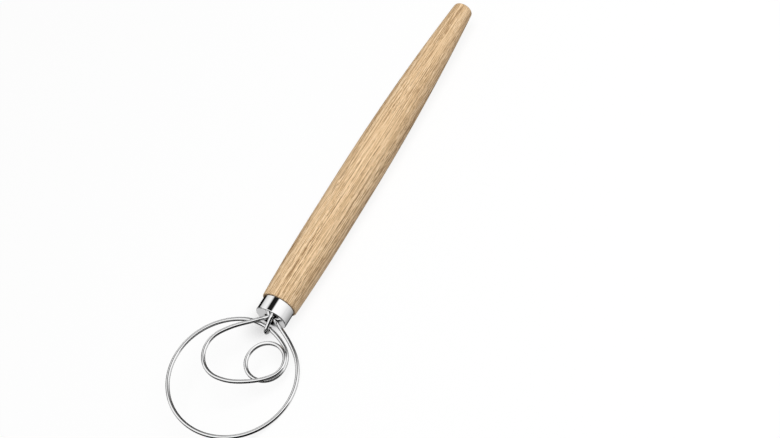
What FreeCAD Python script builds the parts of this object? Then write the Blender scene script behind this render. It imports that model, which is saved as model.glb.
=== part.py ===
import FreeCAD
import Part
import Sketcher
import math
import os

# Driving sizes in millimetres. The tool's axis runs from the middle of the ferrule's end face to the handle's tip.
SIZES = (
    ("handle_length", "246.8"),
    ("shoulder_dia", "23.5"),
    ("shoulder_round", "0.8"),
    ("belly_from", "57.5"),
    ("belly_length", "36.0"),
    ("belly_dia", "26.0"),
    ("tip_dia", "12.8"),
    ("tip_round", "2.6"),
    ("ferrule_length", "10.3"),
    ("ferrule_dia", "21.0"),
    ("ferrule_wall", "0.8"),
    ("ferrule_rim", "0.6"),
    ("mouth_splay", "1.5"),
    ("mouth_gap", "0.7"),
    ("mouth_room", "2.4"),
    ("mouth_low", "2.5"),
    ("mouth_low_side", "0.2"),
    ("glue_gap", "0.05"),
    ("resin_wall", "0.3"),
    ("grip_length", "24.0"),
    ("wire_dia", "2.5"),
    ("wire_gap", "0.55"),
    ("near_tail_side", "2.5"),
    ("far_tail_side", "0.55"),
    ("far_tail_rise", "1.8"),
    ("bend_depth", "2.2"),
    ("leave_reach", "2.1"),
    ("leave_side", "6.4"),
    ("ring_radius", "40.1"),
    ("ring_gap", "4.6"),
    ("ring_side", "1.05"),
    ("curl_radius", "12.3"),
    ("curl_reach", "27.75"),
    ("curl_side", "12.8"),
    ("middle_reach", "49.9"),
    ("middle_reach_side", "8.6"),
    ("middle_side", "26.0"),
    ("middle_side_reach", "32.1"),
    ("return_reach", "14.55"),
    ("return_side", "16.45"),
    ("cross_reach", "5.3"),
    ("cross_side", "5.75"),
    ("hook_dia", "2.5"),
    ("hook_reach", "6.55"),
    ("hook_side", "2.0"),
    ("hook_foot_side", "2.5"),
    ("hook_web", "0.6"),
    ("hook_stand", "0.3"),
    ("hook_bend", "4.0"),
    ("hook_play", "0.35"),
    ("hook_tip", "1.5"),
    ("hook_grip", "12.0"),
)

# Places along and across the axis, as formulas of the driving sizes
TENON_FROM = "sizes.ferrule_wall + sizes.mouth_room"
TENON_RADIUS = "sizes.ferrule_dia / 2 - sizes.ferrule_wall - sizes.glue_gap"
BELLY_AT = "sizes.ferrule_length + sizes.belly_from"
TIP_AT = "sizes.ferrule_length + sizes.handle_length"
BORE_RADIUS = "sizes.near_tail_side + sizes.wire_dia / 2 + sizes.resin_wall"
TAIL_AT = f"{TENON_FROM} + sizes.grip_length - sizes.glue_gap"
LIFT = "sizes.wire_dia + sizes.wire_gap"
RING_REACH = "sizes.ring_gap + sizes.ring_radius"
MOUTH_NEAR = "sizes.near_tail_side + sizes.mouth_splay"
MOUTH_FAR = "sizes.far_tail_side + sizes.mouth_splay"
MOUTH_RADIUS = "sizes.wire_dia / 2 + sizes.mouth_gap"
HOOK_RISE = f"{BORE_RADIUS} + sizes.hook_web + sizes.hook_dia / 2"
HOOK_HOLE = "sizes.hook_dia / 2 + sizes.glue_gap"
HOOK_LEAN = "sizes.hook_foot_side - sizes.hook_side"
HOOK_DROP = f"sqrt(({HOOK_LEAN}) ^ 2 + ({HOOK_RISE}) ^ 2)"
HOOK_CURL = "sizes.wire_dia / 2 + sizes.hook_dia / 2 + sizes.hook_play"
HOOK_TAIL = f"{TENON_FROM} + sizes.hook_grip - sizes.glue_gap"

# Headings of the wire in degrees, counted from the handle's direction towards its left side
FORTH = 0.0
BACK = 180.0
FAR_HEADING = 90.0
# Heading at a loop's point nearest the ferrule; each degree of turn takes one off
TURN_TO_HEADING = -90.0
LEAVE_HEADING = 243.0
HOOK_HEADING = 257.5
JOIN_HEADING = 125.0
RETURN_HEADING = -46.0
CROSS_HEADING = -48.0
# Places on the outer loop in degrees, counted from its point nearest the ferrule
RING_TURNS = (40.0, 90.0, 180.0, 270.0, 338.0)
# Places on the small curl, counted the same way over one turn and the start of the next, with their heights as
# shares of the lift between its two turns
CURL_TURNS = (90.0, 180.0, 270.0, 360.0, 450.0)
CURL_RISE_SHARES = (0.0, 0.0, 0.2, 0.75, 1.0)
# Where the curl's second turn becomes the middle loop, as shares of the curl's radius from its centre
JOIN_SHARES = (1.05, 0.30)
# Step along the wire at which its gap to itself is measured, as a share of its diameter
GAP_STEP_SHARE = 0.2
# Stretches nearer than this along the wire, in diameters, are neighbours in one bend
NEIGHBOUR_DIAMETERS = 5.0
FULL_TURN = 360.0
# Turn of the handle's seam, so that the flat of a mesh of it, not an edge, lies on the table
SEAM_TURN = -3.1
SAME_PLACE = 1e-4

doc = FreeCAD.newDocument("dough_whisk")


def make_sheet():
    """The spreadsheet that holds every driving size under its own name."""
    sheet = doc.addObject("Spreadsheet::Sheet", "sizes")
    for row, (name, value) in enumerate(SIZES, start=1):
        sheet.set(f"A{row}", name)
        sheet.set(f"B{row}", value)
        sheet.setAlias(f"B{row}", name)
    doc.recompute()
    return sheet


sizes = make_sheet()


def measure(formula):
    """The present value of a formula of the driving sizes."""
    return float(sizes.evalExpression(formula))


def new_body(name):
    body = doc.addObject("PartDesign::Body", name)
    body.Label = name
    return body


def new_sketch(body, role, name):
    """A sketch on one of the body's own origin planes."""
    sketch = body.newObject("Sketcher::SketchObject", name)
    plane = next(item for item in body.Origin.OriginFeatures if item.Role == role)
    sketch.AttachmentSupport = [(plane, "")]
    sketch.MapMode = "FlatFace"
    return sketch


def bind(sketch, constraint, formula):
    """Add a constraint that carries a size, and tie it to its formula."""
    index = sketch.addConstraint(constraint)
    sketch.setExpression(f"Constraints[{index}]", formula)


def pin_point(sketch, curve, end, place):
    """Hold one end or the centre of a curve at a place given as two formulas."""
    across, up = place
    bind(sketch, Sketcher.Constraint("DistanceX", -1, 1, curve, end, measure(across)), across)
    bind(sketch, Sketcher.Constraint("DistanceY", -1, 1, curve, end, measure(up)), up)


def spot(place):
    """The present point of a place given as two formulas."""
    return FreeCAD.Vector(measure(place[0]), measure(place[1]), 0)


def arc_middle(start, heading, finish):
    """Middle point of the arc that leaves start along heading and ends at finish."""
    chord = finish - start
    sideways = heading - chord * (heading.dot(chord) / chord.dot(chord))
    sideways.normalize()
    return start + chord / 2 + sideways * (chord.Length / 2 * math.tan(heading.getAngle(chord) / 2))


def tangent_arc(start, heading, finish):
    return Part.Arc(start, arc_middle(start, heading, finish), finish)


def draw_lines(sketch, places):
    """A closed outline of straight lines through places given as formulas."""
    spots = [spot(place) for place in places]
    ends = spots[1:] + spots[:1]
    lines = [sketch.addGeometry(Part.LineSegment(start, end)) for start, end in zip(spots, ends)]
    for line, after, place in zip(lines, lines[1:] + lines[:1], places):
        sketch.addConstraint(Sketcher.Constraint("Coincident", line, 2, after, 1))
        pin_point(sketch, line, 1, place)


def draw_circle(sketch, place, radius):
    circle = sketch.addGeometry(Part.Circle(spot(place), FreeCAD.Vector(0, 0, 1), measure(radius)))
    pin_point(sketch, circle, 3, place)
    bind(sketch, Sketcher.Constraint("Radius", circle, measure(radius)), radius)


def revolve(body, sketch, name):
    """Turn a half outline once round the tool's axis."""
    turned = body.newObject("PartDesign::Revolution", name)
    turned.Profile = sketch
    turned.ReferenceAxis = (sketch, ["H_Axis"])
    turned.Angle = FULL_TURN


def cut_along(body, sketch, name, depth):
    """Cut a sketch on the end plane into the body towards the tip, and make sure that it takes something away."""
    doc.recompute()
    before = body.Shape.Volume
    pocket = body.newObject("PartDesign::Pocket", name)
    pocket.Profile = sketch
    pocket.Reversed = True
    pocket.setExpression("Length", depth)
    doc.recompute()
    if not body.Shape.Volume < before:
        raise RuntimeError(f"{name} cuts nothing")


def is_rim(edge, centre, radius):
    """Whether an edge is the circle of that radius round that centre."""
    curve = edge.Curve
    if not isinstance(curve, Part.Circle):
        return False
    return (curve.Center - centre).Length < SAME_PLACE and abs(curve.Radius - radius) < SAME_PLACE


def round_rim(body, name, place, radius, formula):
    """Round the body's rim at one place along the axis."""
    doc.recompute()
    base = body.Tip
    centre = FreeCAD.Vector(measure(place), 0, 0)
    found = enumerate(base.Shape.Edges, start=1)
    names = [f"Edge{number}" for number, edge in found if is_rim(edge, centre, measure(radius))]
    fillet = body.newObject("PartDesign::Fillet", name)
    fillet.Base = (base, names)
    fillet.setExpression("Radius", formula)


def draw_handle(sketch):
    """Half outline of the turned handle: tenon, shoulder, swell, straight belly and long taper."""
    places = (
        (TENON_FROM, "0"),
        (TENON_FROM, TENON_RADIUS),
        ("sizes.ferrule_length", TENON_RADIUS),
        ("sizes.ferrule_length", "sizes.shoulder_dia / 2"),
        (BELLY_AT, "sizes.belly_dia / 2"),
        (f"{BELLY_AT} + sizes.belly_length", "sizes.belly_dia / 2"),
        (TIP_AT, "sizes.tip_dia / 2"),
        (TIP_AT, "0"),
    )
    swell, belly, taper = 3, 4, 5
    spots = [spot(place) for place in places]
    pairs = list(zip(spots, spots[1:] + spots[:1]))
    curves = [Part.LineSegment(start, end) for start, end in pairs]
    curves[swell] = tangent_arc(pairs[swell][1], FreeCAD.Vector(-1, 0, 0), pairs[swell][0])
    curves[taper] = tangent_arc(pairs[taper][0], FreeCAD.Vector(1, 0, 0), pairs[taper][1])
    drawn = [sketch.addGeometry(curve) for curve in curves]
    # A sketch counts an arc's ends anticlockwise, so both arcs here begin at their second end
    first = {drawn[swell]: 2, drawn[taper]: 2}
    last = {drawn[swell]: 1, drawn[taper]: 1}
    smooth = (drawn[swell], drawn[belly])
    for curve, after, place in zip(drawn, drawn[1:] + drawn[:1], places):
        kind = "Tangent" if curve in smooth else "Coincident"
        sketch.addConstraint(Sketcher.Constraint(kind, curve, last.get(curve, 2), after, first.get(after, 1)))
        pin_point(sketch, curve, first.get(curve, 1), place)


def make_handle():
    body = new_body("handle")
    outline = new_sketch(body, "XY_Plane", "handle_outline")
    outline.AttachmentOffset = FreeCAD.Placement(FreeCAD.Vector(), FreeCAD.Rotation(FreeCAD.Vector(1, 0, 0), SEAM_TURN))
    draw_handle(outline)
    revolve(body, outline, "handle_turned")
    bore = new_sketch(body, "YZ_Plane", "bore_circle")
    draw_circle(bore, ("0", "0"), BORE_RADIUS)
    cut_along(body, bore, "tail_bore", f"{TENON_FROM} + sizes.grip_length")
    hole = new_sketch(body, "YZ_Plane", "tail_hole_circle")
    draw_circle(hole, ("-sizes.hook_foot_side", HOOK_RISE), HOOK_HOLE)
    cut_along(body, hole, "tail_hole", f"{TENON_FROM} + sizes.hook_grip")
    round_rim(body, "tip_rounding", TIP_AT, "sizes.tip_dia / 2", "sizes.tip_round")
    round_rim(body, "shoulder_rounding", "sizes.ferrule_length", "sizes.shoulder_dia / 2", "sizes.shoulder_round")
    return body


def draw_mouth(sketch):
    """A triangle with round corners: one for each strand where they splay, and an open one below them."""
    places = (
        (f"-({MOUTH_NEAR})", "0"),
        ("-sizes.mouth_low_side", "-sizes.mouth_low"),
        (MOUTH_FAR, "sizes.far_tail_rise"),
    )
    radius = measure(MOUTH_RADIUS)
    corners = [spot(place) for place in places]
    sides = list(zip(corners, corners[1:] + corners[:1]))
    outs = []
    for corner, after in sides:
        along = (after - corner).normalize() * radius
        outs.append(FreeCAD.Vector(along.y, -along.x, 0))
    drawn = []
    for (corner, after), out, out_before in zip(sides, outs, outs[-1:] + outs[:-1]):
        middle = (out_before + out).normalize() * radius
        drawn.append(sketch.addGeometry(Part.Arc(corner + out_before, corner + middle, corner + out)))
        drawn.append(sketch.addGeometry(Part.LineSegment(corner + out, after + out)))
    for curve, after in zip(drawn, drawn[1:] + drawn[:1]):
        sketch.addConstraint(Sketcher.Constraint("Tangent", curve, 2, after, 1))
    for arc, place in zip(drawn[::2], places):
        pin_point(sketch, arc, 3, place)
        bind(sketch, Sketcher.Constraint("Radius", arc, radius), MOUTH_RADIUS)


def make_ferrule():
    body = new_body("ferrule")
    outline = new_sketch(body, "XY_Plane", "cup_outline")
    outside = "sizes.ferrule_dia / 2"
    inside = "sizes.ferrule_dia / 2 - sizes.ferrule_wall"
    draw_lines(outline, (
        ("0", "0"),
        ("0", outside),
        ("sizes.ferrule_length", outside),
        ("sizes.ferrule_length", inside),
        ("sizes.ferrule_wall", inside),
        ("sizes.ferrule_wall", "0"),
    ))
    revolve(body, outline, "cup")
    mouth = new_sketch(body, "YZ_Plane", "mouth_outline")
    draw_mouth(mouth)
    cut_along(body, mouth, "mouth", "sizes.ferrule_wall")
    hole = new_sketch(body, "YZ_Plane", "hook_circle")
    draw_circle(hole, ("-sizes.hook_foot_side", HOOK_RISE), HOOK_HOLE)
    cut_along(body, hole, "hook_hole", "sizes.ferrule_wall")
    round_rim(body, "rim_rounding", "0", outside, "sizes.ferrule_rim")
    return body


def make_bond_plug():
    """Resin that fills the bore round both tails."""
    body = new_body("bond_plug")
    section = new_sketch(body, "YZ_Plane", "plug_section")
    section.setExpression("AttachmentOffset.Base.z", TENON_FROM)
    draw_circle(section, ("0", "0"), f"{BORE_RADIUS} - sizes.glue_gap")
    tail = "sizes.wire_dia / 2 + sizes.glue_gap"
    draw_circle(section, ("-sizes.near_tail_side", "0"), tail)
    draw_circle(section, ("sizes.far_tail_side", "sizes.far_tail_rise"), tail)
    plug = body.newObject("PartDesign::Pad", "plug")
    plug.Profile = section
    plug.setExpression("Length", "sizes.grip_length - sizes.glue_gap")
    return body


def hook_corners():
    """Corners of the hook's line in its own plane: tail, bend start, bend end and curl start."""
    rise, bend = measure(HOOK_DROP), measure("sizes.hook_bend")
    reach, curl = measure("sizes.hook_reach"), measure(HOOK_CURL)
    stand = measure("sizes.hook_stand")
    along, fall = reach - stand, rise - bend
    lean = math.atan2(fall, along) + math.asin((bend - curl) / math.hypot(along, fall))
    across = FreeCAD.Vector(-math.sin(lean), math.cos(lean), 0)
    tail = FreeCAD.Vector(measure(HOOK_TAIL), rise, 0)
    bend_start = FreeCAD.Vector(-stand, rise, 0)
    bend_end = FreeCAD.Vector(-stand, rise - bend, 0) + across * bend
    curl_start = FreeCAD.Vector(-reach, 0, 0) + across * curl
    return tail, bend_start, bend_end, curl_start


def draw_hook(sketch):
    """The hook's line: straight tail, first bend, straight shank and the curl round the wire."""
    tail, bend_start, bend_end, curl_start = hook_corners()
    curl, tip = measure(HOOK_CURL), measure("sizes.hook_tip")
    curl_end = FreeCAD.Vector(tip - measure("sizes.hook_reach"), -math.sqrt(curl ** 2 - tip ** 2), 0)
    curl_back = FreeCAD.Vector(-curl - measure("sizes.hook_reach"), 0, 0)
    tail_line = sketch.addGeometry(Part.LineSegment(tail, bend_start))
    bend = sketch.addGeometry(tangent_arc(bend_start, FreeCAD.Vector(-1, 0, 0), bend_end))
    shank = sketch.addGeometry(Part.LineSegment(bend_end, curl_start))
    round_wire = sketch.addGeometry(Part.Arc(curl_start, curl_back, curl_end))
    for before, after in ((tail_line, bend), (bend, shank), (shank, round_wire)):
        sketch.addConstraint(Sketcher.Constraint("Tangent", before, 2, after, 1))
    pin_point(sketch, tail_line, 1, (HOOK_TAIL, HOOK_DROP))
    pin_point(sketch, tail_line, 2, ("-sizes.hook_stand", HOOK_DROP))
    bind(sketch, Sketcher.Constraint("Radius", bend, measure("sizes.hook_bend")), "sizes.hook_bend")
    bind(sketch, Sketcher.Constraint("Radius", round_wire, curl), HOOK_CURL)
    pin_point(sketch, round_wire, 3, ("-sizes.hook_reach", "0"))
    bind(sketch, Sketcher.Constraint("DistanceX", round_wire, 3, round_wire, 2, tip), "sizes.hook_tip")


def make_keeper_hook():
    """The J of thinner wire, drawn in its own plane with the curl's centre on the axis."""
    body = new_body("keeper_hook")
    line = new_sketch(body, "XZ_Plane", "hook_line")
    draw_hook(line)
    section = new_sketch(body, "YZ_Plane", "hook_section")
    section.setExpression("AttachmentOffset.Base.z", HOOK_TAIL)
    draw_circle(section, ("0", HOOK_DROP), "sizes.hook_dia / 2")
    doc.recompute()
    bent = body.newObject("PartDesign::AdditivePipe", "hook_wire")
    bent.Profile = section
    bent.Spine = (line, [f"Edge{number}" for number in range(1, line.GeometryCount + 1)])
    return body


def hook_placement():
    """The hook's plane leans about the tool's axis, from the wire that it holds to its own hole."""
    lean = math.degrees(math.atan2(measure(HOOK_LEAN), measure(HOOK_RISE)))
    side = FreeCAD.Vector(0, -measure("sizes.hook_side"), 0)
    return FreeCAD.Placement(side, FreeCAD.Rotation(FreeCAD.Vector(1, 0, 0), lean))


def heading(degrees, slope=0.0):
    """Direction of the wire: an angle in the loops' plane and a slope towards the viewer."""
    angle = math.radians(degrees)
    direction = FreeCAD.Vector(math.cos(angle), math.sin(angle), slope)
    return direction.normalize()


def place_on_loop(reach, side, radius, turn):
    """Point of a loop, a turn in degrees on from its point nearest the ferrule, by the right side."""
    angle = math.radians(turn)
    return FreeCAD.Vector(-reach + radius * math.cos(angle), -side - radius * math.sin(angle), 0)


def ring_route():
    """The outer loop: round by the right, the far end and the left."""
    loop = (measure(RING_REACH), -measure("sizes.ring_side"), measure("sizes.ring_radius"))
    return [(place_on_loop(*loop, turn), heading(TURN_TO_HEADING - turn)) for turn in RING_TURNS]


def curl_route():
    """The small curl: one turn that rises towards the viewer, and the start of the next in front of it."""
    lift = measure(LIFT)
    loop = (measure("sizes.curl_reach"), measure("sizes.curl_side"), measure("sizes.curl_radius"))
    quarter = math.pi / 2 * measure("sizes.curl_radius")
    before = CURL_RISE_SHARES[:1] + CURL_RISE_SHARES[:-1]
    after = CURL_RISE_SHARES[1:] + CURL_RISE_SHARES[-1:]
    route = []
    for turn, share, low, high in zip(CURL_TURNS, CURL_RISE_SHARES, before, after):
        level = share in (low, high)
        slope = 0.0 if level else lift * (high - low) / (2 * quarter)
        point = place_on_loop(*loop, turn) + FreeCAD.Vector(0, 0, lift * share)
        route.append((point, heading(TURN_TO_HEADING - turn, slope)))
    return route


def middle_route():
    """From the curl's second turn round the middle loop and straight across the outer loop's end."""
    lift, radius = measure(LIFT), measure("sizes.curl_radius")
    join_reach = measure("sizes.curl_reach") + radius * JOIN_SHARES[0]
    join_side = measure("sizes.curl_side") + radius * JOIN_SHARES[1]
    stops = (
        (join_reach, -join_side, JOIN_HEADING),
        (measure("sizes.middle_reach"), measure("sizes.middle_reach_side"), FAR_HEADING),
        (measure("sizes.middle_side_reach"), measure("sizes.middle_side"), FORTH),
        (measure("sizes.return_reach"), measure("sizes.return_side"), RETURN_HEADING),
        (measure("sizes.cross_reach"), measure("sizes.cross_side"), CROSS_HEADING),
    )
    return [(FreeCAD.Vector(-reach, side, lift), heading(angle)) for reach, side, angle in stops]


def wire_route():
    """Points and headings of the whole wire, from one tail in the handle to the other."""
    tail, bend = measure(TAIL_AT), measure("sizes.bend_depth")
    near = -measure("sizes.near_tail_side")
    far, rise = measure("sizes.far_tail_side"), measure("sizes.far_tail_rise")
    leave = FreeCAD.Vector(-measure("sizes.leave_reach"), -measure("sizes.leave_side"), 0)
    hook = FreeCAD.Vector(-measure("sizes.hook_reach"), -measure("sizes.hook_side"), 0)
    route = [(FreeCAD.Vector(tail, near, 0), heading(BACK))]
    route.append((FreeCAD.Vector(bend, near, 0), heading(BACK)))
    route.append((leave, heading(LEAVE_HEADING)))
    route.extend(ring_route())
    route.append((hook, heading(HOOK_HEADING)))
    route.extend(curl_route())
    route.extend(middle_route())
    route.append((FreeCAD.Vector(bend, far, rise), heading(FORTH)))
    route.append((FreeCAD.Vector(tail, far, rise), heading(FORTH)))
    return route


def biarc_joint(start, leaving, end, arriving):
    """Where two arcs of equal reach meet that leave start and arrive at end along the given headings."""
    chord = end - start
    both = leaving + arriving
    spread = 2 * (1 - leaving.dot(arriving))
    along = chord.dot(both)
    if spread < SAME_PLACE:
        reach = chord.dot(chord) / (2 * along)
    else:
        reach = (math.sqrt(along ** 2 + spread * chord.dot(chord)) - along) / spread
    return (start + end + (leaving - arriving) * reach) / 2


def arc_edge(start, leaving, end):
    """Arc, or straight line, that leaves start along a heading and arrives at end."""
    chord = end - start
    if leaving.cross(chord).Length < SAME_PLACE * chord.Length:
        return Part.LineSegment(start, end).toShape()
    return tangent_arc(start, leaving, end).toShape()


def route_edges(route):
    """Two arcs between each pair of stops along the wire."""
    edges = []
    for (start, leaving), (end, arriving) in zip(route, route[1:]):
        joint = biarc_joint(start, leaving, end, arriving)
        edges.append(arc_edge(start, leaving, joint))
        edges.append(arc_edge(end, arriving * -1, joint))
    return edges


def least_gap(path, diameter):
    """Least gap of the wire to itself, measured on points along its middle line."""
    points = path.discretize(Distance=diameter * GAP_STEP_SHARE)
    skip = int(NEIGHBOUR_DIAMETERS / GAP_STEP_SHARE)
    nearest = min(
        point.distanceToPoint(other)
        for index, point in enumerate(points)
        for other in points[index + skip:]
    )
    return nearest - diameter


def tightest_bend(edges):
    return min(edge.Curve.Radius for edge in edges if isinstance(edge.Curve, Part.Circle))


def make_whisk_wire():
    """One unbroken wire from tail to tail, as a pipe along its middle line."""
    diameter = measure("sizes.wire_dia")
    route = wire_route()
    edges = route_edges(route)
    path = Part.Wire(Part.__sortEdges__(edges))
    start, leaving = route[0]
    section = Part.Wire(Part.Circle(start, leaving, diameter / 2).toShape())
    piece = doc.addObject("Part::Feature", "whisk_wire")
    piece.Label = "whisk_wire"
    piece.Shape = path.makePipeShell([section], True, False)
    print(f"whisk_wire: length {path.Length:.1f} mm, tightest bend {tightest_bend(edges):.2f} mm")
    print(f"whisk_wire: least gap to itself {least_gap(path, diameter):.2f} mm")
    return piece


def rest_placement():
    """The tool lies on its belly, rolled until the outer loop's right side touches the table as well."""
    belly = measure("sizes.belly_dia") / 2
    wire = measure("sizes.wire_dia") / 2
    ring, side = measure("sizes.ring_radius"), measure("sizes.ring_side")
    roll = math.asin((belly - wire) / (ring - side))
    far_end = measure(RING_REACH) + ring + wire
    middle = (measure(TIP_AT) - far_end) / 2
    across = side * math.cos(roll)
    turn = FreeCAD.Rotation(FreeCAD.Vector(1, 0, 0), math.degrees(roll))
    return FreeCAD.Placement(FreeCAD.Vector(-middle, -across, belly), turn)


def check_document(pieces):
    """Stop before anything is written if an object failed or a piece is no valid solid."""
    for item in doc.Objects:
        if "Invalid" in item.State or "Error" in item.State:
            raise RuntimeError(f"{item.Label} failed: {item.State}")
    for piece in pieces:
        if piece.Shape.isNull() or not piece.Shape.isValid() or len(piece.Shape.Solids) != 1:
            raise RuntimeError(f"{piece.Label} is not one valid solid")


def main():
    handle = make_handle()
    ferrule = make_ferrule()
    bond_plug = make_bond_plug()
    keeper_hook = make_keeper_hook()
    whisk_wire = make_whisk_wire()
    rest = rest_placement()
    pieces = (handle, ferrule, bond_plug, keeper_hook, whisk_wire)
    for piece in pieces:
        piece.Placement = rest
    keeper_hook.Placement = rest * hook_placement()
    doc.recompute()
    check_document(pieces)
    os.makedirs("parts", exist_ok=True)
    for piece in pieces:
        piece.Shape.exportStep(f"parts/{piece.Label}.step")


main()
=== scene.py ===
import math

import bmesh
import bpy
from mathutils import Matrix, Vector


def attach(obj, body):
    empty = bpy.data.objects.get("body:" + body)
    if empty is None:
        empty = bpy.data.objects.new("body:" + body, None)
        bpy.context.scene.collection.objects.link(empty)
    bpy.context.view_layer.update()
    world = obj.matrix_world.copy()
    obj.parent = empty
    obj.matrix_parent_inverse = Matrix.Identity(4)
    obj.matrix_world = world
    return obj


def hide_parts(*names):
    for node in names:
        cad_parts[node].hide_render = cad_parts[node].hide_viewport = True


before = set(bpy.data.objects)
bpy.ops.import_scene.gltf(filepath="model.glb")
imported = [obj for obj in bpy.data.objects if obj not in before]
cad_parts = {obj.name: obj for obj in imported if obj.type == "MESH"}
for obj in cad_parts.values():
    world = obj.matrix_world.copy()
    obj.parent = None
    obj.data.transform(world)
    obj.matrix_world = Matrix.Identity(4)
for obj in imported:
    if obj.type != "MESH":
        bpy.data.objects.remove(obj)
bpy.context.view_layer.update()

# Sizes in millimetres, the same as the solids'
MM = 0.001
HANDLE_LENGTH = 246.8
SHOULDER_DIA = 23.5
SHOULDER_ROUND = 0.8
BELLY_FROM = 57.5
BELLY_LENGTH = 36.0
BELLY_DIA = 26.0
TIP_DIA = 12.8
TIP_ROUND = 2.6
FERRULE_LENGTH = 10.3
FERRULE_DIA = 21.0
FERRULE_WALL = 0.8
FERRULE_RIM = 0.6
MOUTH_SPLAY = 1.5
MOUTH_GAP = 0.7
MOUTH_ROOM = 2.4
MOUTH_LOW = 2.5
MOUTH_LOW_SIDE = 0.2
GLUE_GAP = 0.05
RESIN_WALL = 0.3
GRIP_LENGTH = 24.0
WIRE_DIA = 2.5
WIRE_GAP = 0.55
NEAR_TAIL_SIDE = 2.5
FAR_TAIL_SIDE = 0.55
FAR_TAIL_RISE = 1.8
BEND_DEPTH = 2.2
LEAVE_REACH = 2.1
LEAVE_SIDE = 6.4
RING_RADIUS = 40.1
RING_GAP = 4.6
RING_SIDE = 1.05
CURL_RADIUS = 12.3
CURL_REACH = 27.75
CURL_SIDE = 12.8
MIDDLE_REACH = 49.9
MIDDLE_REACH_SIDE = 8.6
MIDDLE_SIDE = 26.0
MIDDLE_SIDE_REACH = 32.1
RETURN_REACH = 14.55
RETURN_SIDE = 16.45
CROSS_REACH = 5.3
CROSS_SIDE = 5.75
HOOK_DIA = 2.5
HOOK_REACH = 6.55
HOOK_SIDE = 2.0
HOOK_FOOT_SIDE = 2.5
HOOK_WEB = 0.6
HOOK_STAND = 0.3
HOOK_BEND = 4.0
HOOK_PLAY = 0.35
HOOK_TIP = 1.5
HOOK_GRIP = 12.0

TENON_FROM = FERRULE_WALL + MOUTH_ROOM
TENON_RADIUS = FERRULE_DIA / 2 - FERRULE_WALL - GLUE_GAP
BORE_RADIUS = NEAR_TAIL_SIDE + WIRE_DIA / 2 + RESIN_WALL
HOOK_RISE = BORE_RADIUS + HOOK_WEB + HOOK_DIA / 2
HOOK_HOLE = HOOK_DIA / 2 + GLUE_GAP
BELLY_AT = FERRULE_LENGTH + BELLY_FROM
TIP_AT = FERRULE_LENGTH + HANDLE_LENGTH
TAIL_AT = TENON_FROM + GRIP_LENGTH - GLUE_GAP
LIFT = WIRE_DIA + WIRE_GAP
RING_REACH = RING_GAP + RING_RADIUS

# The tool's own axes, from the ferrule's end to the tip, laid down as the solids are
ROLL = math.asin((BELLY_DIA - WIRE_DIA) / 2 / (RING_RADIUS - RING_SIDE))
HALFWAY = (TIP_AT - RING_REACH - RING_RADIUS - WIRE_DIA / 2) / 2
REST_AT = Vector((-HALFWAY, -RING_SIDE * math.cos(ROLL), BELLY_DIA / 2))
REST = Matrix.Translation(REST_AT) @ Matrix.Rotation(ROLL, 4, "X")
TO_ROW = Matrix.Scale(MM, 4) @ REST


# Mesh helpers

SHARP_DEGREES = 35.0
TINY = 1e-6


def new_object(name, bm, place=TO_ROW):
    """An object in the row's frame from a mesh in the tool's own axes, smooth but for its corners."""
    bm.transform(place)
    bmesh.ops.recalc_face_normals(bm, faces=bm.faces)
    mesh = bpy.data.meshes.new(name)
    bm.to_mesh(mesh)
    bm.free()
    mesh.shade_smooth()
    mesh.set_sharp_from_angle(angle=math.radians(SHARP_DEGREES))
    obj = bpy.data.objects.new(name, mesh)
    bpy.context.scene.collection.objects.link(obj)
    return obj


def arc_points(centre, radius, start, end, count):
    """Points of an arc in a half outline, ends included, angles in degrees."""
    points = []
    for i in range(count + 1):
        angle = math.radians(start + (end - start) * i / count)
        points.append((centre[0] + radius * math.cos(angle), centre[1] + radius * math.sin(angle)))
    return points


def lathe(outline, segments):
    """Turn a half outline of (along, radius) round the tool's axis, closed where it ends on the axis."""
    bm = bmesh.new()
    uv = bm.loops.layers.uv.new("UVMap")
    rings = []
    for along, radius in outline:
        if radius < TINY:
            rings.append([bm.verts.new((along, 0, 0))])
            continue
        ring = []
        for i in range(segments):
            angle = 2 * math.pi * i / segments
            ring.append(bm.verts.new((along, radius * math.cos(angle), radius * math.sin(angle))))
        rings.append(ring)
    for a, b in zip(rings, rings[1:]):
        for i in range(segments):
            j = (i + 1) % segments
            corners = [a[i % len(a)], a[j % len(a)], b[j % len(b)], b[i % len(b)]]
            corners = list(dict.fromkeys(corners))
            if len(corners) > 2:
                face = bm.faces.new(corners)
                for loop in face.loops:
                    loop[uv].uv = (loop.vert.co.x * MM, i / segments)
    return bm


def prism(outline, start, end):
    """A straight cutter along the tool's axis with a closed outline of (across, up)."""
    bm = bmesh.new()
    first = [bm.verts.new((start, y, z)) for y, z in outline]
    last = [bm.verts.new((end, y, z)) for y, z in outline]
    for i in range(len(outline)):
        j = (i + 1) % len(outline)
        bm.faces.new((first[i], first[j], last[j], last[i]))
    bm.faces.new(first)
    bm.faces.new(list(reversed(last)))
    return bm


def cut(obj, cutters):
    """Take cutters out of a piece and delete them."""
    for cutter in cutters:
        modifier = obj.modifiers.new("cut", "BOOLEAN")
        modifier.operation = "DIFFERENCE"
        modifier.solver = "EXACT"
        modifier.object = cutter
    depsgraph = bpy.context.evaluated_depsgraph_get()
    mesh = bpy.data.meshes.new_from_object(obj.evaluated_get(depsgraph))
    obj.modifiers.clear()
    old = obj.data
    obj.data = mesh
    bpy.data.meshes.remove(old)
    mesh.name = obj.name
    mesh.set_sharp_from_angle(angle=math.radians(SHARP_DEGREES))
    for cutter in cutters:
        bpy.data.objects.remove(cutter)


def circle_outline(centre, radius, count):
    return arc_points(centre, radius, 0, 360, count)[:-1]


# The wire's line: two arcs between each pair of stops, with headings and turns in degrees

LEAVE_HEADING = 243
RING_TURNS = (40, 90, 180, 270, 338)
HOOK_HEADING = 257.5
# Stops of the curl: turn, share of the lift between its two turns, and share of their slope
CURL_STOPS = ((90, 0, 0), (180, 0, 0), (270, 0.2, 0.75), (360, 0.75, 0.8), (450, 1, 0))
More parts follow.
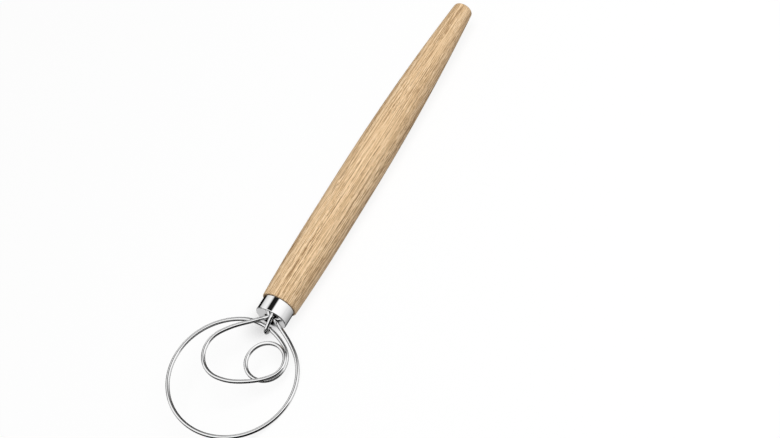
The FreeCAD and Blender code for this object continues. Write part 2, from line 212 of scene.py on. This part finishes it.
# Where the curl becomes the middle loop, as shares of its radius from its centre
CURL_END_SHARES = (1.05, 0.3)
CURL_END_HEADING = 125
RETURN_HEADING = -46
CROSS_HEADING = -48
STRAIGHT = 1e-5
PARALLEL = 1e-9


def heading(degrees, slope=0.0):
    angle = math.radians(degrees)
    return Vector((math.cos(angle), math.sin(angle), slope)).normalized()


def on_loop(reach, side, radius, turn):
    angle = math.radians(turn)
    return Vector((-reach + radius * math.cos(angle), -side - radius * math.sin(angle), 0))


def wire_route():
    """Stops and headings of the wire, from one tail in the handle to the other."""
    route = [
        (Vector((TAIL_AT, -NEAR_TAIL_SIDE, 0)), heading(180)),
        (Vector((BEND_DEPTH, -NEAR_TAIL_SIDE, 0)), heading(180)),
        (Vector((-LEAVE_REACH, -LEAVE_SIDE, 0)), heading(LEAVE_HEADING)),
    ]
    for turn in RING_TURNS:
        route.append((on_loop(RING_REACH, -RING_SIDE, RING_RADIUS, turn), heading(-90 - turn)))
    route.append((Vector((-HOOK_REACH, -HOOK_SIDE, 0)), heading(HOOK_HEADING)))
    slope = LIFT / (math.pi * CURL_RADIUS)
    for turn, share, rise in CURL_STOPS:
        point = on_loop(CURL_REACH, CURL_SIDE, CURL_RADIUS, turn) + Vector((0, 0, LIFT * share))
        route.append((point, heading(-90 - turn, slope * rise)))
    onward, aside = (share * CURL_RADIUS for share in CURL_END_SHARES)
    return route + [
        (Vector((-CURL_REACH - onward, -CURL_SIDE - aside, LIFT)), heading(CURL_END_HEADING)),
        (Vector((-MIDDLE_REACH, MIDDLE_REACH_SIDE, LIFT)), heading(90)),
        (Vector((-MIDDLE_SIDE_REACH, MIDDLE_SIDE, LIFT)), heading(0)),
        (Vector((-RETURN_REACH, RETURN_SIDE, LIFT)), heading(RETURN_HEADING)),
        (Vector((-CROSS_REACH, CROSS_SIDE, LIFT)), heading(CROSS_HEADING)),
        (Vector((BEND_DEPTH, FAR_TAIL_SIDE, FAR_TAIL_RISE)), heading(0)),
        (Vector((TAIL_AT, FAR_TAIL_SIDE, FAR_TAIL_RISE)), heading(0)),
    ]


def arc_run(start, leaving, end, step):
    """Points along the arc that leaves start along a heading and arrives at end, without the last."""
    chord = end - start
    half = leaving.angle(chord)
    if half < STRAIGHT:
        count = max(1, int(chord.length / (4 * step)))
        return [start + chord * i / count for i in range(count)]
    across = (chord - leaving * chord.dot(leaving)).normalized()
    radius = chord.length / (2 * math.sin(half))
    count = max(3, math.ceil(2 * half * radius / step))
    points = []
    for i in range(count):
        angle = 2 * half * i / count
        onward, aside = radius * math.sin(angle), radius * (1 - math.cos(angle))
        points.append(start + leaving * onward + across * aside)
    return points


def route_points(route, step):
    """Points along the whole wire: between two stops, two arcs that meet in a shared tangent."""
    points = []
    for (start, leaving), (end, arriving) in zip(route, route[1:]):
        chord, both = end - start, leaving + arriving
        spread = 2 * (1 - leaving.dot(arriving))
        along = chord.dot(both)
        if spread < PARALLEL:
            reach = chord.dot(chord) / (2 * along)
        else:
            reach = (math.sqrt(along ** 2 + spread * chord.dot(chord)) - along) / spread
        joint = (start + end + (leaving - arriving) * reach) / 2
        points += arc_run(start, leaving, joint, step)
        second = arc_run(end, -arriving, joint, step)
        points += [joint] + list(reversed(second[1:]))
    return points + [route[-1][0]]


HOOK_KEEP = 2.0
HOOK_ARC_STEPS = 12
HOOK_STEP_DEGREES = 5


def hook_points():
    """The hook's line in its own plane, turned to lean from its hole to the wire that it holds."""
    lean_side = HOOK_FOOT_SIDE - HOOK_SIDE
    drop = math.hypot(lean_side, HOOK_RISE)
    curl = WIRE_DIA / 2 + HOOK_DIA / 2 + HOOK_PLAY
    along, fall = HOOK_REACH - HOOK_STAND, drop - HOOK_BEND
    lean = math.atan2(fall, along) + math.asin((HOOK_BEND - curl) / math.hypot(along, fall))
    points = [(TENON_FROM + HOOK_GRIP - GLUE_GAP, drop), (HOOK_KEEP, drop)]
    turned = 90 + math.degrees(lean)
    points += arc_points((-HOOK_STAND, drop - HOOK_BEND), HOOK_BEND, 90, turned, HOOK_ARC_STEPS)
    tip_angle = 360 - math.degrees(math.acos(HOOK_TIP / curl))
    steps = int((tip_angle - turned) / HOOK_STEP_DEGREES)
    points += arc_points((-HOOK_REACH, 0), curl, turned, tip_angle, steps)
    tilt = Matrix.Rotation(math.atan2(lean_side, HOOK_RISE), 4, "X")
    tilt = Matrix.Translation((0, -HOOK_SIDE, 0)) @ tilt
    return [tilt @ Vector((x, 0, z)) for x, z in points]


DOME_RINGS = 8


def tube(points, radius, segments, dome):
    """A round wire along points, with domed ends, and a UV of metres along and turns round."""
    bm = bmesh.new()
    uv = bm.loops.layers.uv.new("UVMap")
    tangents = []
    for i in range(len(points)):
        before, after = points[max(i - 1, 0)], points[min(i + 1, len(points) - 1)]
        tangents.append((after - before).normalized())
    side = tangents[0].orthogonal().normalized()
    stations = []
    length = 0.0
    for i, point in enumerate(points):
        if i:
            length += (point - points[i - 1]).length
            turn = tangents[i - 1].rotation_difference(tangents[i])
            side = turn @ side
        side = (side - tangents[i] * side.dot(tangents[i])).normalized()
        stations.append((point, side, tangents[i].cross(side), length))
    rings = []
    for point, a, b, length in stations:
        ring = []
        for k in range(segments):
            angle = 2 * math.pi * k / segments
            ring.append(bm.verts.new(point + (a * math.cos(angle) + b * math.sin(angle)) * radius))
        rings.append((ring, length))
    for (a, la), (b, lb) in zip(rings, rings[1:]):
        for k in range(segments):
            j = (k + 1) % segments
            face = bm.faces.new((a[k], a[j], b[j], b[k]))
            for loop, (l, t) in zip(face.loops, ((la, k), (la, k + 1), (lb, k + 1), (lb, k))):
                loop[uv].uv = (l * MM, t / segments)
    ends = ((rings[0][0], points[0], -tangents[0]), (rings[-1][0], points[-1], tangents[-1]))
    for ring, point, out in ends:
        last = ring
        for i in range(1, DOME_RINGS):
            angle = math.pi / 2 * i / DOME_RINGS
            shrink, rise = math.cos(angle), out * (dome * math.sin(angle))
            rim = [bm.verts.new(point + (v.co - point) * shrink + rise) for v in ring]
            for k in range(segments):
                j = (k + 1) % segments
                bm.faces.new((last[k], last[j], rim[j], rim[k]))
            last = rim
        top = bm.verts.new(point + out * dome)
        for k in range(segments):
            bm.faces.new((last[k], last[(k + 1) % segments], top))
    return bm


# Shader helpers

def node(tree, kind, **values):
    made = tree.nodes.new(kind)
    for name, value in values.items():
        setattr(made, name, value)
    return made


def link(tree, source, target):
    tree.links.new(source, target)


def math_node(tree, operation, a, b=None, c=None):
    made = node(tree, "ShaderNodeMath", operation=operation)
    for index, value in enumerate((a, b, c)):
        if value is None:
            continue
        if isinstance(value, (int, float)):
            made.inputs[index].default_value = value
        else:
            link(tree, value, made.inputs[index])
    return made.outputs[0]


def noise(tree, vector, detail=2.0, roughness=0.5):
    """Soft noise of one cell per unit."""
    made = node(tree, "ShaderNodeTexNoise")
    link(tree, vector, made.inputs["Vector"])
    made.inputs["Scale"].default_value = 1.0
    made.inputs["Detail"].default_value = detail
    made.inputs["Roughness"].default_value = roughness
    return made


def stretched(tree, vector, scale, shift=0.0):
    made = node(tree, "ShaderNodeMapping")
    link(tree, vector, made.inputs["Vector"])
    made.inputs["Scale"].default_value = scale
    made.inputs["Location"].default_value = (shift, shift, shift)
    return made.outputs["Vector"]


def faded(tree, value, start, end, first, last):
    """A smooth step from first to last as a value goes from start to end."""
    made = node(tree, "ShaderNodeMapRange", interpolation_type="SMOOTHSTEP")
    link(tree, value, made.inputs["Value"])
    for name, number in (("From Min", start), ("From Max", end), ("To Min", first), ("To Max", last)):
        made.inputs[name].default_value = number
    return made.outputs["Result"]


def ramp(tree, value, stops):
    made = node(tree, "ShaderNodeValToRGB")
    elements = made.color_ramp.elements
    while len(elements) < len(stops):
        elements.new(0.5)
    for element, (position, colour) in zip(elements, stops):
        element.position = position
        element.color = (*colour, 1.0) if isinstance(colour, tuple) else (colour, colour, colour, 1.0)
    link(tree, value, made.inputs["Fac"])
    return made.outputs["Color"]


def distance_from(tree, place):
    """How far the shaded point is from a place in the row's frame, in metres."""
    away = node(tree, "ShaderNodeVectorMath", operation="DISTANCE")
    link(tree, node(tree, "ShaderNodeNewGeometry").outputs["Position"], away.inputs[0])
    away.inputs[1].default_value = place
    return away.outputs["Value"]


def bumped(tree, height, strength, distance):
    made = node(tree, "ShaderNodeBump")
    made.inputs["Strength"].default_value = strength
    made.inputs["Distance"].default_value = distance
    link(tree, height, made.inputs["Height"])
    return made.outputs["Normal"]


def mix(tree, blend, factor, a, b):
    made = node(tree, "ShaderNodeMix", data_type="RGBA", blend_type=blend)
    if isinstance(factor, (int, float)):
        made.inputs[0].default_value = factor
    else:
        link(tree, factor, made.inputs[0])
    for socket, value in ((made.inputs[6], a), (made.inputs[7], b)):
        if isinstance(value, tuple):
            socket.default_value = (*value, 1.0)
        else:
            link(tree, value, socket)
    return made.outputs[2]


def new_material(name):
    material = bpy.data.materials.new(name)
    material.use_nodes = True
    tree = material.node_tree
    return material, tree, tree.nodes["Principled BSDF"]


# Wood: turns of the grain in degrees, how closely it follows the outline, and the reach in mm of the
# painted shade in the seam
GRAIN_TURN = -41.5
GRAIN_SLOPE = 0.9
GRAIN_FOLLOW = 0.45
SEAM_SHADE_REACH = 0.6
# Counts per mm along, across and through the layers, and the sway's reach in mm
SWAY = (0.010, 0.04, 0.04)
SWAY_REACH = 0.4
BAND = (0.004, 0.20, 0.20)
FIBRE = (0.012, 0.7, 0.7)
HAIR = (0.09, 1.5, 1.5)
# Lines: counts per mm of their breaks along, of lines across and through, and shift
GRAIN_LINES = (
    (0.14, 1.50, 0.14, 0.0),
    (0.18, 2.05, 0.20, 31.0),
    (0.24, 2.80, 0.28, 73.0),
)
LINE_RUN = 0.014
# Levels of noise at which lines break off, turn dark and turn light, and at which bands are pale
BREAK_AT = (0.44, 0.54)
DARK_BELOW = (0.38, 0.45)
LIGHT_ABOVE = (0.55, 0.62)
PALE_AT = (0.3, 0.7)
PALE_MARKS = 0.65
# Colours, and tints by level of noise
LIGHT_LINE = (0.88, 0.66, 0.425)
DARK_LINE = (0.30, 0.175, 0.078)
FIBRE_TONES = ((0.28, (0.705, 0.49, 0.281)), (0.48, (0.72, 0.505, 0.293)), (0.72, (0.735, 0.52, 0.307)))
BAND_TINTS = ((0.28, (0.96, 0.945, 0.92)), (0.5, (1.0, 0.99, 0.975)), (0.72, (1.02, 1.01, 1.0)))
HAIR_TINTS = ((0.28, (0.93, 0.915, 0.89)), (0.5, (1.0, 0.995, 0.99)), (0.72, (1.04, 1.04, 1.04)))
# Tints of painted shade, from the seam and the wood inside the ferrule out to the plain wood
SEAM_SHADE_TINTS = ((0.0, (0.06, 0.045, 0.03)), (0.5, (0.5, 0.42, 0.35)), (1.0, (1.0, 1.0, 1.0)))
WOOD_ROUGH = ((0.2, 0.60), (0.8, 0.48))
WOOD_SHEEN = 0.3
HAIR_HEIGHT = 0.35
WOOD_BUMP = (0.3, 0.00008)


def narrowing(tree, along, wide, narrow, end_dia):
    """Share by which the handle is slimmer than its belly, from a wide place along it to a narrow one."""
    reach = math_node(tree, "DIVIDE", math_node(tree, "SUBTRACT", along, wide), narrow - wide)
    reach = math_node(tree, "MAXIMUM", reach, 0.0)
    share = (1 - end_dia / BELLY_DIA) * GRAIN_FOLLOW
    return math_node(tree, "MULTIPLY", math_node(tree, "MULTIPLY", reach, reach), share)


def tool_place(tree):
    """Places in mm from the middle of the ferrule's end, split into three."""
    centred = node(tree, "ShaderNodeMapping")
    link(tree, node(tree, "ShaderNodeTexCoord").outputs["Object"], centred.inputs["Vector"])
    centred.inputs["Scale"].default_value = (1 / MM, 1 / MM, 1 / MM)
    centred.inputs["Location"].default_value = -REST_AT
    split = node(tree, "ShaderNodeSeparateXYZ")
    link(tree, centred.outputs["Vector"], split.inputs[0])
    return split


def grain_place(tree, split):
    """Places spread where the handle is slim, so that the grain follows its outline."""
    along = split.outputs["X"]
    slim = math_node(tree, "ADD", narrowing(tree, along, BELLY_AT + BELLY_LENGTH, TIP_AT, TIP_DIA),
                     narrowing(tree, along, BELLY_AT, FERRULE_LENGTH, SHOULDER_DIA))
    spread = math_node(tree, "DIVIDE", 1.0, math_node(tree, "SUBTRACT", 1.0, slim))
    joined = node(tree, "ShaderNodeCombineXYZ")
    link(tree, along, joined.inputs["X"])
    link(tree, math_node(tree, "MULTIPLY", split.outputs["Y"], spread), joined.inputs["Y"])
    link(tree, math_node(tree, "MULTIPLY", split.outputs["Z"], spread), joined.inputs["Z"])
    sloped = node(tree, "ShaderNodeMapping")
    link(tree, joined.outputs[0], sloped.inputs["Vector"])
    turns = (GRAIN_TURN, -GRAIN_SLOPE, GRAIN_SLOPE)
    sloped.inputs["Rotation"].default_value = [math.radians(turn) for turn in turns]
    return sloped.outputs["Vector"]


def grain_lines(tree, grain):
    """Thin dark and light lines where the grain's layers meet the surface, broken off here and there."""
    dark = light = None
    for along, across, through, shift in GRAIN_LINES:
        line = noise(tree, stretched(tree, grain, (LINE_RUN, across, through), shift), 1.0).outputs["Fac"]
        part = noise(tree, stretched(tree, grain, (along, across, across / 2), -shift), 1.0).outputs["Fac"]
        part = faded(tree, part, *BREAK_AT, 0.0, 1.0)
        low = math_node(tree, "MULTIPLY", part, faded(tree, line, *DARK_BELOW, 1.0, 0.0))
        high = math_node(tree, "MULTIPLY", part, faded(tree, line, *LIGHT_ABOVE, 0.0, 1.0))
        dark = low if dark is None else math_node(tree, "MAXIMUM", dark, low)
        light = high if light is None else math_node(tree, "MAXIMUM", light, high)
    return dark, light


def wood_material():
    """Pale straight-grained hardwood: soft bands and fibres, fine dark and light lines, and painted shade
    at the ferrule's seam.
    """
    material, tree, shader = new_material("handle_wood")
    split = tool_place(tree)
    mm = grain_place(tree, split)
    sway = noise(tree, stretched(tree, mm, SWAY))
    shift = node(tree, "ShaderNodeVectorMath", operation="SUBTRACT")
    link(tree, sway.outputs["Color"], shift.inputs[0])
    shift.inputs[1].default_value = (0.5, 0.5, 0.5)
    swayed = node(tree, "ShaderNodeVectorMath", operation="MULTIPLY_ADD")
    link(tree, shift.outputs[0], swayed.inputs[0])
    swayed.inputs[1].default_value = (0, SWAY_REACH, SWAY_REACH)
    link(tree, mm, swayed.inputs[2])
    grain = swayed.outputs[0]

    # Broad bands, soft fibres and fine hairs
    band = noise(tree, stretched(tree, grain, BAND)).outputs["Fac"]
    fibre = noise(tree, stretched(tree, grain, FIBRE), 1.0, 0.6).outputs["Fac"]
    hair = noise(tree, stretched(tree, grain, HAIR), 2.0, 0.75).outputs["Fac"]
    tone = ramp(tree, fibre, FIBRE_TONES)
    tone = mix(tree, "MULTIPLY", 1.0, tone, ramp(tree, band, BAND_TINTS))
    tone = mix(tree, "MULTIPLY", 1.0, tone, ramp(tree, hair, HAIR_TINTS))

    # Light lines, and dark ones, which are fainter in the pale bands
    dark, light = grain_lines(tree, grain)
    tone = mix(tree, "MIX", light, tone, LIGHT_LINE)
    marks = math_node(tree, "MULTIPLY", dark, faded(tree, band, *PALE_AT, 1.0, PALE_MARKS))
    colour = mix(tree, "MIX", marks, tone, DARK_LINE)

    # Painted shade: a dark line in the seam round the ferrule, and dark wood inside it, standing for the
    # contact shadow there
    across = node(tree, "ShaderNodeVectorMath", operation="LENGTH")
    flat = node(tree, "ShaderNodeCombineXYZ")
    link(tree, split.outputs["Y"], flat.inputs["Y"])
    link(tree, split.outputs["Z"], flat.inputs["Z"])
    link(tree, flat.outputs[0], across.inputs[0])
    out = faded(tree, across.outputs["Value"], FERRULE_DIA / 2, FERRULE_DIA / 2 + SEAM_SHADE_REACH, 0.0, 1.0)
    along = faded(tree, split.outputs["X"], FERRULE_LENGTH, FERRULE_LENGTH + SEAM_SHADE_REACH, 0.0, 1.0)
    seam = math_node(tree, "MAXIMUM", out, along)
    colour = mix(tree, "MULTIPLY", 1.0, colour, ramp(tree, seam, SEAM_SHADE_TINTS))
    link(tree, colour, shader.inputs["Base Color"])

    link(tree, ramp(tree, fibre, WOOD_ROUGH), shader.inputs["Roughness"])
    shader.inputs["Specular IOR Level"].default_value = WOOD_SHEEN
    height = math_node(tree, "SUBTRACT", math_node(tree, "MULTIPLY", hair, HAIR_HEIGHT), marks)
    link(tree, bumped(tree, height, *WOOD_BUMP), shader.inputs["Normal"])
    return material


# Steel: its colour, its marks' bump, and for each piece its range of roughness and its marks' counts by UV
STEEL = (0.90, 0.90, 0.90)
STEEL_BUMP = (0.06, 0.00002)
MARK_LEVELS = (0.3, 0.75)
FERRULE_FINISH = ((0.02, 0.04), (6000, 40, 1))
WIRE_FINISH = ((0.04, 0.08), (30, 40, 1))
RESIN_TONES = ((0.3, (0.16, 0.12, 0.08)), (0.7, (0.26, 0.20, 0.14)))
RESIN_CLOUDS = (900, 900, 900)
RESIN_ROUGH = 0.35


def steel_material(name, roughness, counts):
    """Polished stainless steel with faint drawing marks."""
    material, tree, shader = new_material(name)
    uv = node(tree, "ShaderNodeTexCoord").outputs["UV"]
    marks = noise(tree, stretched(tree, uv, counts), 3.0, 0.6).outputs["Fac"]
    shader.inputs["Base Color"].default_value = (*STEEL, 1.0)
    shader.inputs["Metallic"].default_value = 1.0
    link(tree, ramp(tree, marks, tuple(zip(MARK_LEVELS, roughness))), shader.inputs["Roughness"])
    link(tree, bumped(tree, marks, *STEEL_BUMP), shader.inputs["Normal"])
    return material


def resin_material():
    material, tree, shader = new_material("cured_resin")
    place = node(tree, "ShaderNodeTexCoord").outputs["Object"]
    cloud = noise(tree, stretched(tree, place, RESIN_CLOUDS), 3.0).outputs["Fac"]
    link(tree, ramp(tree, cloud, RESIN_TONES), shader.inputs["Base Color"])
    shader.inputs["Roughness"].default_value = RESIN_ROUGH
    return material


# Pieces: counts of faces round and steps along, and small edges and reaches past a face in mm

HANDLE_FACES = 128
FERRULE_FACES = 160
WIRE_FACES = 32
HANDLE_HOLE_FACES = 24
FERRULE_HOLE_FACES = 40
SHOULDER_STEPS = 6
SHOULDER_TURN = 95
SWELL_STEPS = 24
TAPER_STEPS = 48
TIP_STEPS = 10
RIM_STEPS = 10
CORNER_STEPS = 16
WIRE_STEP = 0.8
WIRE_DOME = 0.1
HOOK_DOME = 0.8
FERRULE_EDGE = 0.15
RIM_KEEP = 0.04
CUT_PAST = 1


def handle_outline():
    """Half outline of the turned handle, from the bottom of its bore round to the tip."""
    belly, shoulder, tip = BELLY_DIA / 2, SHOULDER_DIA / 2, TIP_DIA / 2
    bottom = TENON_FROM + GRIP_LENGTH
    outline = [(bottom, 0), (bottom, BORE_RADIUS), (TENON_FROM, BORE_RADIUS)]
    outline += [(TENON_FROM, TENON_RADIUS), (FERRULE_LENGTH, TENON_RADIUS)]
    # The swell's and taper's arcs are tangent to the straight belly, so their radii follow from their reach
    swell = (BELLY_FROM ** 2 + (belly - shoulder) ** 2) / (2 * (belly - shoulder))
    taper_reach = TIP_AT - BELLY_AT - BELLY_LENGTH
    taper = (taper_reach ** 2 + (belly - tip) ** 2) / (2 * (belly - tip))
    rounding = (FERRULE_LENGTH + SHOULDER_ROUND, shoulder - SHOULDER_ROUND)
    outline += arc_points(rounding, SHOULDER_ROUND, 180, SHOULDER_TURN, SHOULDER_STEPS)
    for i in range(1, SWELL_STEPS + 1):
        along = FERRULE_LENGTH + SHOULDER_ROUND + (BELLY_FROM - SHOULDER_ROUND) * i / SWELL_STEPS
        outline.append((along, belly - swell + math.sqrt(swell ** 2 - (BELLY_AT - along) ** 2)))
    start = BELLY_AT + BELLY_LENGTH
    reach = taper_reach - TIP_ROUND
    for i in range(TAPER_STEPS + 1):
        along = start + reach * i / TAPER_STEPS
        outline.append((along, belly - taper + math.sqrt(taper ** 2 - (along - start) ** 2)))
    edge = outline[-1][1]
    flat = tip - TIP_ROUND
    for i in range(1, TIP_STEPS + 1):
        angle = math.radians(90 * i / TIP_STEPS)
        along = TIP_AT - TIP_ROUND * (1 - math.sin(angle))
        outline.append((along, flat + (edge - flat) * math.cos(angle)))
    outline.append((TIP_AT, 0))
    return outline


def hook_cutter(faces, start, end):
    outline = circle_outline((-HOOK_FOOT_SIDE, HOOK_RISE), HOOK_HOLE, faces)
    return new_object("hook_cutter", prism(outline, start, end))


def make_handle():
    obj = new_object("turned_handle", lathe(handle_outline(), HANDLE_FACES))
    cut(obj, [hook_cutter(HANDLE_HOLE_FACES, TENON_FROM - CUT_PAST, TENON_FROM + HOOK_GRIP)])
    obj.data.materials.append(wood_material())
    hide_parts("handle")
    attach(obj, "root")


def make_ferrule(material):
    outside, inside = FERRULE_DIA / 2, FERRULE_DIA / 2 - FERRULE_WALL
    outline = [(FERRULE_WALL, 0), (FERRULE_WALL, inside), (FERRULE_LENGTH, inside)]
    outline += [(FERRULE_LENGTH, outside - FERRULE_EDGE), (FERRULE_LENGTH - FERRULE_EDGE, outside)]
    # Rings close to the rim keep its rounding off the straight side and the flat end
    outline += [(FERRULE_RIM + RIM_KEEP, outside)]
    outline += arc_points((FERRULE_RIM, outside - FERRULE_RIM), FERRULE_RIM, 90, 180, RIM_STEPS)
    outline += [(0, outside - FERRULE_RIM - RIM_KEEP), (0, 0)]
    obj = new_object("ferrule_cup", lathe(outline, FERRULE_FACES))
    # The mouth is a triangle with round corners
    radius = WIRE_DIA / 2 + MOUTH_GAP
    corners = [Vector((-NEAR_TAIL_SIDE - MOUTH_SPLAY, 0)), Vector((-MOUTH_LOW_SIDE, -MOUTH_LOW)),
               Vector((FAR_TAIL_SIDE + MOUTH_SPLAY, FAR_TAIL_RISE))]
    rounded = []
    for before, corner, after in zip(corners[-1:] + corners[:-1], corners, corners[1:] + corners[:1]):
        into, leave = corner - before, after - corner
        start = math.degrees(math.atan2(-into.x, into.y))
        turn = (math.degrees(math.atan2(-leave.x, leave.y)) - start) % 360
        rounded += arc_points(corner, radius, start, start + turn, CORNER_STEPS)
    mouth = new_object("mouth_cutter", prism(rounded, -CUT_PAST, FERRULE_WALL + CUT_PAST))
    cut(obj, [mouth, hook_cutter(FERRULE_HOLE_FACES, -CUT_PAST, FERRULE_WALL + CUT_PAST)])
    obj.data.materials.append(material)
    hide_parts("ferrule")
    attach(obj, "root")


def make_wires(material):
    line = route_points(wire_route(), WIRE_STEP)
    wire = new_object("bent_wire", tube(line, WIRE_DIA / 2, WIRE_FACES, WIRE_DOME))
    hook = new_object("hook_wire", tube(hook_points(), HOOK_DIA / 2, WIRE_FACES, HOOK_DOME))
    for obj, name in ((wire, "whisk_wire"), (hook, "keeper_hook")):
        obj.data.materials.append(material)
        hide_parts(name)
        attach(obj, "root")


# Stage, in metres: the floor's size and colours as seen and as it lights the tool, and how white it is seen

FLOOR_HALF = 6.0
FLOOR_SEEN = (0.95, 0.95, 0.95)
FLOOR_LIGHT = (0.55, 0.55, 0.55)
FLOOR_ROUGH = 0.6
FLOOR_WHITE = 0.87
# Painted shade: under the ferrule's end the floor is seen less white, so it is darker there than its real
# shadow alone would make it
SHADE_AT = (-0.081, 0.016, 0)
SHADE_REACH = 0.021
SHADE_WHITE = 0.1
# A dark disc that only metal mirrors: a painted reflection of the deep shadow under the strands' root
SHADOW_CARD_AT = (-0.091, 0.010, 0.0002)
SHADOW_CARD_RADIUS = 0.009
SHADOW_CARD_CORE = 0.4
SHADOW_CARD_FACES = 48
# The world's level, the lamp, and the room that metal mirrors
FILL = 0.3
KEY_AT = (0.2, -0.56, 1.42)
KEY_SIZE = 1.6
KEY_POWER = 24.5
STUDIO_WHITE = 1.12
# Flags in that room: direction, radius and soft edge in degrees, and depth, negative for a light patch
FLAGS = (
    ((-0.138, 0.417, -0.898), 67.1, 186.1, 0.985),
    ((-0.606, -0.773, -0.187), 55.2, 5.7, 0.985),
    ((0.411, -0.062, 0.909), 17.7, 9.5, 0.985),
    ((0.950, 0.044, 0.310), 28.9, 26.3, 0.985),
    ((-0.975, 0.128, -0.184), 48.5, 40.2, 0.985),
    ((0.003, 0.931, 0.366), 17.6, 5.7, 0.985),
    ((0.644, 0.619, -0.450), 45.9, 5.9, 0.985),
    ((-0.309, 0.704, -0.640), 15.0, 22.6, -2.759),
    ((0.473, 0.126, 0.872), 16.9, 18.7, 0.311),
)


def make_floor():
    """A white floor that keeps a faint shadow. Metal mirrors the room by direction instead."""
    bm = bmesh.new()
    bmesh.ops.create_grid(bm, x_segments=1, y_segments=1, size=FLOOR_HALF)
    floor = new_object("floor", bm, place=Matrix.Identity(4))
    material, tree, shader = new_material("floor_white")
    camera_ray = node(tree, "ShaderNodeLightPath").outputs["Is Camera Ray"]
    link(tree, mix(tree, "MIX", camera_ray, FLOOR_LIGHT, FLOOR_SEEN), shader.inputs["Base Color"])
    shader.inputs["Roughness"].default_value = FLOOR_ROUGH
    shader.inputs["Specular IOR Level"].default_value = 0.0
    white = node(tree, "ShaderNodeEmission")
    white.inputs["Color"].default_value = (1, 1, 1, 1)
    # Painted shade: close to SHADE_AT the floor's white share falls, so the floor is darker there
    share = faded(tree, distance_from(tree, SHADE_AT), 0.0, SHADE_REACH, SHADE_WHITE, FLOOR_WHITE)
    seen = math_node(tree, "MULTIPLY", camera_ray, share)
    blend = node(tree, "ShaderNodeMixShader")
    link(tree, seen, blend.inputs[0])
    link(tree, shader.outputs[0], blend.inputs[1])
    link(tree, white.outputs[0], blend.inputs[2])
    link(tree, blend.outputs[0], tree.nodes["Material Output"].inputs["Surface"])
    floor.data.materials.append(material)
    floor.visible_glossy = False


def make_shadow_card():
    """A painted reflection of shadow: a dark patch under the strands' root, seen only in metal, standing
    for the deep shadow there.
    """
    bm = bmesh.new()
    bmesh.ops.create_circle(bm, cap_ends=True, segments=SHADOW_CARD_FACES, radius=SHADOW_CARD_RADIUS)
    card = new_object("shadow_reflection_card", bm, place=Matrix.Translation(SHADOW_CARD_AT))
    material, tree, shader = new_material("shadow_card_black")
    shader.inputs["Base Color"].default_value = (0, 0, 0, 1)
    shader.inputs["Specular IOR Level"].default_value = 0.0
    alpha = faded(tree, distance_from(tree, SHADOW_CARD_AT), SHADOW_CARD_RADIUS * SHADOW_CARD_CORE, SHADOW_CARD_RADIUS, 1.0, 0.0)
    link(tree, alpha, shader.inputs["Alpha"])
    card.data.materials.append(material)
    card.visible_camera = card.visible_diffuse = card.visible_shadow = False
    card.visible_transmission = card.visible_volume_scatter = False


def make_key():
    """One large soft lamp over the tool, which metal doesn't mirror."""
    data = bpy.data.lights.new("key", "AREA")
    data.shape = "RECTANGLE"
    data.size = data.size_y = KEY_SIZE
    data.energy = KEY_POWER
    key = bpy.data.objects.new("key", data)
    key.location = KEY_AT
    key.rotation_mode = "QUATERNION"
    key.rotation_quaternion = (-Vector(KEY_AT)).to_track_quat("-Z", "Y")
    key.visible_glossy = False
    key.visible_camera = False
    bpy.context.scene.collection.objects.link(key)


def mirrored_studio(tree):
    """What metal mirrors: a white room with soft dark flags, each round a direction."""
    place = node(tree, "ShaderNodeTexCoord").outputs["Generated"]
    light = None
    for direction, radius, edge, depth in FLAGS:
        dot = node(tree, "ShaderNodeVectorMath", operation="DOT_PRODUCT")
        link(tree, place, dot.inputs[0])
        dot.inputs[1].default_value = Vector(direction).normalized()
        away = math_node(tree, "ARCCOSINE", dot.outputs["Value"])
        inner, outer = math.radians(radius - edge / 2), math.radians(radius + edge / 2)
        shade = faded(tree, away, inner, outer, 1 - depth, 1)
        light = shade if light is None else math_node(tree, "MULTIPLY", light, shade)
    return math_node(tree, "MULTIPLY", light, STUDIO_WHITE)


def make_light():
    """The camera sees white, metal mirrors the studio, and all else is lit by the fill and the lamp."""
    world = bpy.data.worlds.new("studio")
    bpy.context.scene.world = world
    world.use_nodes = True
    tree = world.node_tree
    path = node(tree, "ShaderNodeLightPath")
    camera_ray, glossy_ray = path.outputs["Is Camera Ray"], path.outputs["Is Glossy Ray"]
    seen = math_node(tree, "MULTIPLY", glossy_ray, mirrored_studio(tree))
    seen = math_node(tree, "ADD", seen, camera_ray)
    plain = math_node(tree, "SUBTRACT", 1.0, math_node(tree, "MAXIMUM", camera_ray, glossy_ray))
    level = math_node(tree, "ADD", seen, math_node(tree, "MULTIPLY", plain, FILL))
    background = tree.nodes["Background"]
    background.inputs["Color"].default_value = (1, 1, 1, 1)
    link(tree, level, background.inputs["Strength"])
    make_key()


# Camera: its place in metres and axes in the row's frame, its sensor in mm, its focus and width in pixels
CAMERA_AT = (-0.49744, -0.79043, 0.86039)
CAMERA_RIGHT = (0.475933, -0.779037, -0.408154)
CAMERA_UP = (0.781536, 0.161789, 0.602516)
CAMERA_AHEAD = (0.403347, 0.605744, -0.685846)
CAMERA_SENSOR = 36.0
CAMERA_FOCUS_PX = 2000
CAMERA_WIDTH_PX = 780


def make_camera():
    data = bpy.data.cameras.new("camera")
    data.sensor_fit = "HORIZONTAL"
    data.sensor_width = CAMERA_SENSOR
    data.lens = CAMERA_FOCUS_PX * CAMERA_SENSOR / CAMERA_WIDTH_PX
    data.clip_start, data.clip_end = 0.01, 50
    camera = bpy.data.objects.new("camera", data)
    turn = Matrix((CAMERA_RIGHT, CAMERA_UP, -Vector(CAMERA_AHEAD))).transposed()
    camera.matrix_world = Matrix.Translation(CAMERA_AT) @ turn.to_4x4()
    bpy.context.scene.collection.objects.link(camera)
    bpy.context.scene.camera = camera


def main():
    bpy.context.scene.view_settings.view_transform = "Standard"
    make_camera()
    make_handle()
    make_ferrule(steel_material("ferrule_polished", *FERRULE_FINISH))
    make_wires(steel_material("wire_bright", *WIRE_FINISH))
    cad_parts["bond_plug"].data.materials[0] = resin_material()
    make_floor()
    make_shadow_card()
    make_light()


main()
